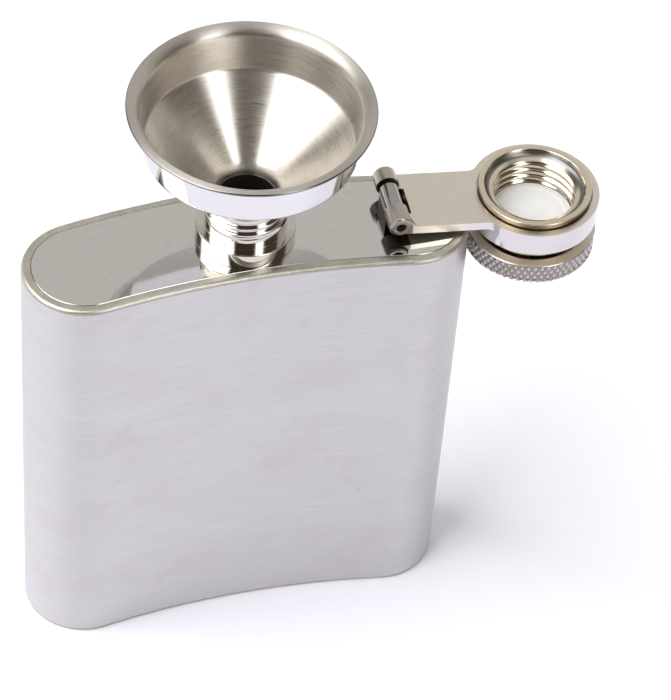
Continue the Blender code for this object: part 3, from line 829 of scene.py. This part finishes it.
def local_bar(radius, low, high, rounding=(0.0, 0.0), steps=48):
    """A round bar along the hinge's own Y axis. rounding gives the radius of the curve at each end."""
    sections = [(low, 0.0)]
    for end, inwards, curve in ((low, 1, rounding[0]), (high, -1, rounding[1])):
        curved = []
        count = 5 if curve else 0
        for i in range(count + 1):
            angle = math.pi / 2 * i / count if count else 0.0
            place = end + inwards * curve * (1 - math.sin(angle))
            curved.append((place, radius - curve * (1 - math.cos(angle))))
        sections += curved[::-1] if inwards > 0 else curved
    sections.append((high, 0.0))
    rings = []
    for y, reach in sections:
        points = arc_points((0.0, 0.0), reach, 0, TAU, steps) if reach else [(0.0, 0.0)]
        rings.append([(x, y, z) for x, z in points])
    mesh = build_mesh("bar", rings, closed=False)
    mesh.transform(ARM_FRAME)
    return mesh


def local_block(low, high):
    """A block between two corners, in the hinge's own frame."""
    rings = [
        [(low[0], low[1], z), (high[0], low[1], z), (high[0], high[1], z), (low[0], high[1], z)]
        for z in (low[2], high[2])
    ]
    return capped_loft("block", rings)


def capped_loft(name, rings):
    """Sections joined into one closed body, in the hinge's own frame."""
    points = [point for ring in rings for point in ring]
    size = len(rings[0])
    faces = ring_faces([size] * len(rings), closed=False)
    faces += [list(range(size))[::-1], list(range(len(points) - size, len(points)))]
    mesh = bpy.data.meshes.new(name)
    mesh.from_pydata(points, [], faces)
    outward(mesh)
    mesh.transform(ARM_FRAME)
    return mesh


def arm_outline(radius):
    """Distances from the hinge with the arm's half width there: a strap that flares into the ring."""
    offset = STRAP_HALF + STRAP_FILLET
    flare = ARM_REACH - math.sqrt((radius + STRAP_FILLET) ** 2 - offset**2)
    length = (ARM_REACH - flare) * STRAP_FILLET / (radius + STRAP_FILLET)
    near = (STRAP_NEAR_END, NOTCH_DEPTH + 0.3 * MM)
    outline = [(along, STRAP_HALF) for along in near + STRAP_CUTS]
    outline += [(along, STRAP_HALF) for along in spread(STRAP_BEND - MM, flare - 0.4 * MM, 3)]
    for along in spread(flare, flare + length, 5):
        outline.append((along, offset - math.sqrt(max(0.0, STRAP_FILLET**2 - (along - flare) ** 2))))
    last = math.acos((flare + length - ARM_REACH) / radius)
    count = round(last / (TAU / TURN_STEPS))
    for i in range(1, count + 1):
        angle = last * (1 - i / (count + 0.5))
        outline.append((ARM_REACH + radius * math.cos(angle), radius * math.sin(angle)))
    return outline


def arm_turns(outline, radius):
    """Places round the ring's axis that meet the outline's points, and fill the part under the strap."""
    angles = [math.atan2(half, along - ARM_REACH) for along, half in outline]
    off_ring = [abs(math.dist(point, (ARM_REACH, 0)) - radius) for point in outline]
    on_ring = [angle for angle, off in zip(angles, off_ring) if off < TOUCH / 10]
    first = max(on_ring)
    hidden = arc_points((0, 0), 1, first, TAU - first, 32)[1:]
    turns = [angle / TAU for angle in on_ring] + [1 - angle / TAU for angle in on_ring]
    turns += [math.atan2(y, x) / TAU % 1.0 for x, y in hidden]
    return sorted(turns)


def arm_plate(ring_top, outline):
    """The arm's upper part: it comes down from the hinge, bends level, and spreads into the ring's disc."""
    rings = []
    soft = 1.0 * MM
    for along, half in outline:
        drop = max(0.0, STRAP_BEND - along)
        if abs(STRAP_BEND - along) < soft:
            drop = (STRAP_BEND - along + soft) ** 2 / (4 * soft)
        top = ring_top + drop * STRAP_SLOPE
        low = top - STRAP_THICKNESS
        rings.append([(along, -half, low), (along, half, low), (along, half, top), (along, -half, top)])
    return capped_loft("arm_plate", rings)


def ring_part(profile, turns):
    """A turned part on the ring's axis, in the hinge's own frame."""
    mesh = turned_mesh("ring_part", profile, (ARM_REACH, 0.0), turns=turns)
    mesh.transform(ARM_FRAME)
    return mesh


def make_arm():
    """The arm: a sloping strap, a level ring with a recess for the cap's lip, and two knuckles."""
    low = ARM_LOW.z - HINGE.z
    top = low + RING_HEIGHT
    radius = ARM_HIGH.x - CAP_AXIS[0]
    floor = top - RING_RECESS_DEPTH
    outline = arm_outline(radius)
    turns = arm_turns(outline, radius)
    middle = top - STRAP_THICKNESS / 2
    deep = RING_HEIGHT
    shoulder = KNUCKLE_RADIUS + 0.02 * MM
    front_end, back_end = FRONT_KNUCKLE[1], BACK_KNUCKLE[0]
    wall = [(RING_HOLE - MM, low), (radius, low), (radius, middle), (RING_HOLE - MM, middle)]
    hollow = [(0.0, low - MM), (RING_HOLE, low - MM), (RING_HOLE, floor), (RING_RECESS, floor)]
    hollow += [(RING_RECESS, top + MM), (0.0, top + MM)]
    room = MIDDLE_RADIUS + 0.3 * MM
    front_side, back_side = NOTCH_SIDES
    lap = 0.1 * MM
    tools = [
        ("DIFFERENCE", local_block((-room, front_end, -deep), (NOTCH_DEPTH, back_side, deep))),
        ("DIFFERENCE", local_block((-room, back_side - lap, -deep), (SHOULDER_DEPTH, back_end, deep))),
        ("DIFFERENCE", local_block((shoulder, front_side, -deep), (NOTCH_DEPTH, front_end + lap, deep))),
        ("UNION", ring_part(wall, turns)),
        ("DIFFERENCE", ring_part(hollow, turns)),
        ("UNION", local_bar(KNUCKLE_RADIUS, *FRONT_KNUCKLE, rounding=(0.5 * MM, 0.0))),
        ("UNION", local_bar(KNUCKLE_RADIUS, *BACK_KNUCKLE, rounding=(0.0, 0.95 * MM))),
        ("DIFFERENCE", local_bar(PIN_BORE, -12 * MM, 12 * MM, steps=24)),
    ]
    mesh = carve("arm_strap", arm_plate(top, outline), tools, 0.13 * MM)
    steel = satin_arm()
    add_piece("arm_strap", mesh, "arm", "cap_arm", [steel], smooth_angle=32, flat_area=3e-6)


def make_hinge():
    """The fixed knuckle on its welded leaf, and the pin."""
    low, high = MIDDLE_KNUCKLE
    leaf_low = TOP - HINGE.z + 0.03 * MM
    leaf_high = BRACKET_LOW.z + 0.45 * MM - HINGE.z
    knuckle = local_bar(MIDDLE_RADIUS, low, high)
    tools = [
        ("UNION", local_block((-MIDDLE_RADIUS, low, leaf_low), (0.9 * MM, high, 0.0))),
        ("UNION", local_block((-0.6 * MM, low, leaf_low), (3.0 * MM, high, leaf_high))),
        ("UNION", local_block((2.5 * MM, -4.6 * MM, leaf_low), (5.5 * MM, 4.6 * MM, leaf_high))),
        ("DIFFERENCE", local_bar(PIN_BORE, 2 * low, 2 * high, steps=24)),
    ]
    mesh = carve("hinge_leaf", knuckle, tools, 0.1 * MM)
    steel = bracket_steel()
    add_piece("hinge_leaf", mesh, "flask", "hinge_bracket", [steel], smooth_angle=32)

    front, back = -5.7 * MM, 6.0 * MM
    mesh = local_bar(PIN_RADIUS, front, back, rounding=(0.25 * MM, 0.25 * MM))
    # Painted shade: the pin is coloured nearly black, so its end reads as the shade deep in the knuckle's
    # bore.
    steel = turned_metal("pin_steel", (0.13, 0.11, 0.09), CAP_AXIS, 0.25, 0.40, line=0.2 * MM)
    add_piece("hinge_rod", mesh, "arm", "hinge_pin", [steel])


# ---------------------------------------------------------------- cap

def make_cap():
    """The threaded cup, its white liner and the knurled knob."""
    mouth = CUP_HIGH.z
    lip_low = mouth - 2.0 * MM
    liner_face = LINER_HIGH.z
    thread_start = mouth - 1.35 * MM
    lip = CUP_HIGH.x - CAP_AXIS[0]
    outline = rounded([
        (0.0, CUP_LOW.z, 0),
        (STEM_RADIUS, CUP_LOW.z, 0.2 * MM),
        (STEM_RADIUS, lip_low, 0.1 * MM),
        (lip, lip_low, 0.15 * MM),
        (lip, mouth, 0.14 * MM),
        (MOUTH_RADIUS, mouth, 0.14 * MM),
        (8.2 * MM, mouth - 0.85 * MM, 1.2 * MM),
        (CUP_BORE, thread_start, 0.08 * MM),
        (CUP_BORE, liner_face, 0),
        (7.4 * MM, liner_face, 0),
        (7.4 * MM, CUP_LOW.z + 1.2 * MM, 0.1 * MM),
        (0.0, CUP_LOW.z + 1.2 * MM, 0),
    ])
    outline = finer(outline, CUP_BORE, THREAD_PITCH / 18)
    ends = liner_face + 0.1 * MM, thread_start - 0.1 * MM
    shift = thread_shift(CUP_BORE, *ends, THREAD_DEPTH, lead=0.3)
    mesh = turned_mesh("thread_cup", outline, CAP_AXIS, shift=shift)
    add_piece("thread_cup", mesh, "cap", "cap_thread_cup", [turned_cup()])

    liner_radius = LINER_HIGH.x - CAP_AXIS[0]
    outline = rounded([
        (0.0, LINER_LOW.z, 0),
        (liner_radius, LINER_LOW.z, 0.1 * MM),
        (liner_radius, liner_face, 0.2 * MM),
        (6.0 * MM, liner_face, 0.2 * MM),
        (5.4 * MM, liner_face - 0.12 * MM, 0.3 * MM),
        (0.0, liner_face - 0.12 * MM, 0),
    ])
    mesh = turned_mesh("liner_disc", outline, CAP_AXIS)
    add_piece("liner_disc", mesh, "cap_seat", "cap_liner", [white_liner()])
    make_knob()


def knurl_shift(radius, start, end):
    """A shift for turned_mesh that cuts a diamond knurl: crossing grooves that leave small pyramids."""

    def shift(place, height, turn):
        inside = min(height - start, end - height)
        if inside < 0 or abs(place - radius) > TOUCH:
            return 0.0
        rise = (height - start) / KNURL_ROW
        up = abs((turn * KNURL_COUNT + rise) % 1.0 - 0.5) * 2
        down = abs((turn * KNURL_COUNT - rise) % 1.0 - 0.5) * 2
        fade = min(1.0, inside / (0.12 * MM))
        return -KNURL_DEPTH * fade * min(1.0, 1.25 * max(up, down)) ** 1.3

    return shift


def make_knob():
    """The knurled knob, with a socket for the cup."""
    radius = (KNOB_HIGH.x - KNOB_LOW.x) / 2
    socket = CUP_LOW.z - 0.3 * MM
    edge = 0.14 * MM
    outline = rounded([
        (0.0, KNOB_LOW.z, 0),
        (radius - 2 * edge, KNOB_LOW.z, 0.1 * MM),
        (radius, KNOB_LOW.z + edge, 0.06 * MM),
        (radius, KNOB_HIGH.z - edge, 0.06 * MM),
        (radius - edge, KNOB_HIGH.z, 0.1 * MM),
        (9.5 * MM, KNOB_HIGH.z, 0.1 * MM),
        (9.5 * MM, socket, 0.1 * MM),
        (0.0, socket, 0),
    ], steps=3)
    outline = finer(outline, radius, KNURL_ROW / 16)
    shift = knurl_shift(radius, KNOB_LOW.z + edge, KNOB_HIGH.z - edge)
    mesh = turned_mesh("knurled_knob", outline, CAP_AXIS, steps=8 * KNURL_COUNT, shift=shift)
    add_piece("knurled_knob", mesh, "cap", "cap_knob", [knurled_edge()], smooth_angle=60)


# ---------------------------------------------------------------- funnel

def make_funnel():
    """The spun bowl, a cone with an upright wall and a lip that turns out, and its tapered spout."""
    hole = 5.0 * MM
    throat, crease = (5.3 * MM, BOWL_LOW.z), (17.45 * MM, TOP + 21.3 * MM)
    slope = (crease[1] - throat[1]) / (crease[0] - throat[0])
    corner = (hole, throat[1] - (throat[0] - hole) * slope)
    half = SHEET / 2
    rim = ((BOWL_HIGH.x - BOWL_LOW.x) / 2 - half, BOWL_HIGH.z)
    wall_top, lip_corner = (18.05 * MM, TOP + 27.2 * MM), (18.15 * MM, TOP + 29.2 * MM)
    inner = soften(corner, (hole, 0.0), crease, 1.3 * MM)
    inner += soften(crease, throat, wall_top, 0.45 * MM)
    inner += soften_between(wall_top, lip_corner, rim, 14)
    outer = offset(inner, SHEET)
    middle = (rim[0], rim[1] - half)
    tip = [(middle[0] + half * math.sin(a), middle[1] + half * math.cos(a)) for a in spread(0.3, 2.9, 5)]
    mesh = turned_mesh("funnel_bowl_spun", inner + tip + outer[::-1], NECK_AXIS, steps=192)
    bowl = spun_bowl()
    add_piece("funnel_bowl_spun", mesh, "funnel", "funnel_bowl", [bowl], smooth_angle=50)

    top, end = inner[0][1] - 0.05 * MM, SPOUT_LOW.z
    outline = [(4.9 * MM, top), (5.3 * MM, top), (4.4 * MM, end), (4.0 * MM, end)]
    mesh = turned_mesh("funnel_tube", outline, NECK_AXIS)
    tube = turned_metal("drawn_spout", (0.30, 0.28, 0.26), NECK_AXIS, 0.30, 0.40)
    add_piece("funnel_tube", mesh, "funnel", "funnel_spout", [tube])


def offset(outline, distance):
    """The same curve, moved to its outer side."""
    moved = []
    for i, (radius, height) in enumerate(outline):
        before, after = outline[max(0, i - 1)], outline[min(len(outline) - 1, i + 1)]
        run, rise = after[0] - before[0], after[1] - before[1]
        step = distance / math.hypot(run, rise)
        moved.append((radius + step * rise, height - step * run))
    return moved


def soften_between(start, middle, end, steps=8):
    """Points along a smooth curve from start to end that leans to middle."""
    curve = []
    for share in spread(0.0, 1.0, steps):
        pulls = ((1 - share) ** 2, start), (2 * share * (1 - share), middle), (share**2, end)
        curve.append(tuple(sum(weight * point[k] for weight, point in pulls) for k in (0, 1)))
    return curve


def soften(corner, before, after, reach, steps=8):
    """Points along a smooth curve that rounds a corner between its two neighbours."""
    middle = Vector(corner)
    start = middle + (Vector(before) - middle).normalized() * reach
    end = middle + (Vector(after) - middle).normalized() * reach
    return soften_between(start, middle, end, steps)


# ---------------------------------------------------------------- studio

def make_floor():
    """A plain, nearly white floor."""
    half = 4.0
    corners = [(-half, -half, 0), (half, -half, 0), (half, half, 0), (-half, half, 0)]
    mesh = bpy.data.meshes.new("floor")
    mesh.from_pydata(corners, [], [[0, 1, 2, 3]])
    floor = bpy.data.objects.new("floor", mesh)
    bpy.context.scene.collection.objects.link(floor)
    material, graph, shader = new_metal("paper", metallic=0.0)
    graph.feed(shader.inputs["Base Color"], (0.86, 0.857, 0.925, 1.0))
    graph.feed(shader.inputs["Roughness"], 0.9)
    graph.feed(shader.inputs["Specular IOR Level"], 0.1)
    mesh.materials.append(material)


def make_sky():
    """A pale room: a broad light at the left, a narrow one at the right, and dark where the photographer
    stands and at the far right."""
    world = bpy.data.worlds.new("studio")
    bpy.context.scene.world = world
    world.use_nodes = True
    graph = Graph(world.node_tree)
    world.node_tree.nodes.clear()
    direction = graph.vector("NORMALIZE", graph.node("ShaderNodeTexCoord").outputs["Generated"])
    east, north, height = graph.split(direction)
    turn = graph.math("ARCTAN2", north, east)
    rise = graph.math("ARCSINE", height)
    colour = ROOM
    for aim_turn, aim_rise, half_turn, half_rise, soft, light in SKY:
        off_turn = graph.math("COSINE", graph.math("SUBTRACT", turn, math.radians(aim_turn)))
        off_turn = graph.math("ARCCOSINE", off_turn)
        off_rise = graph.math("ABSOLUTE", graph.math("SUBTRACT", rise, math.radians(aim_rise)))
        shares = []
        for off, half in ((off_turn, half_turn), (off_rise, half_rise)):
            edges = math.radians(half - soft), math.radians(half + soft)
            shares.append(graph.span(off, *edges, 1.0, 0.0, smooth=True))
        colour = graph.mix(graph.times(*shares), colour, light)
    background = graph.node("ShaderNodeBackground", {"Color": colour, "Strength": 1.0})
    graph.node("ShaderNodeOutputWorld", {"Surface": background.outputs[0]})


# The room's own light, then patches over it: direction and height of the middle, half width, half height and
# softness of the edge, in degrees, and the light's colour.
ROOM = (0.70, 0.685, 0.665)
SKY = [
    (-25, 20, 24, 45, 8, (0.11, 0.09, 0.075)),
    (123, 45, 12, 22, 5, (0.14, 0.13, 0.12)),
    (-105, 30, 29, 40, 6, (0.085, 0.068, 0.058)),
    (-63, 42, 10, 22, 4, (4.5, 4.5, 4.5)),
    (183, 55, 41, 27, 6, (5.0, 5.0, 5.0)),
]


def make_camera():
    """The camera, at the viewing angle of a hand-held shot from above and a little to the left."""
    turn, rise, roll = math.radians(-18.95), math.radians(47.46), math.radians(5.07)
    back = Vector((math.sin(turn) * math.cos(rise), -math.cos(turn) * math.cos(rise), math.sin(rise)))
    level = Vector((math.cos(turn), math.sin(turn), 0.0))
    up = back.cross(level)
    right = level * math.cos(roll) + up * math.sin(roll)
    top = up * math.cos(roll) - level * math.sin(roll)
    target = Vector((0.0, 0.0, 38.46 * MM))
    place = target + back * 0.595 + right * (17.44 * MM) + top * (13.15 * MM)
    camera = bpy.data.objects.new("camera", bpy.data.cameras.new("camera"))
    camera.data.lens = 172.13
    camera.data.sensor_width = 36.0
    camera.data.clip_start = 0.01
    camera.data.clip_end = 50.0
    camera.matrix_world = Matrix((
        (right.x, top.x, back.x, place.x),
        (right.y, top.y, back.y, place.y),
        (right.z, top.z, back.z, place.z),
        (0, 0, 0, 1),
    ))
    bpy.context.scene.collection.objects.link(camera)
    bpy.context.scene.camera = camera


# ---------------------------------------------------------------- build

make_body()
make_neck()
make_hinge()
make_arm()
make_cap()
make_funnel()
make_floor()
make_sky()
make_camera()
bpy.context.scene.view_settings.view_transform = "Standard"
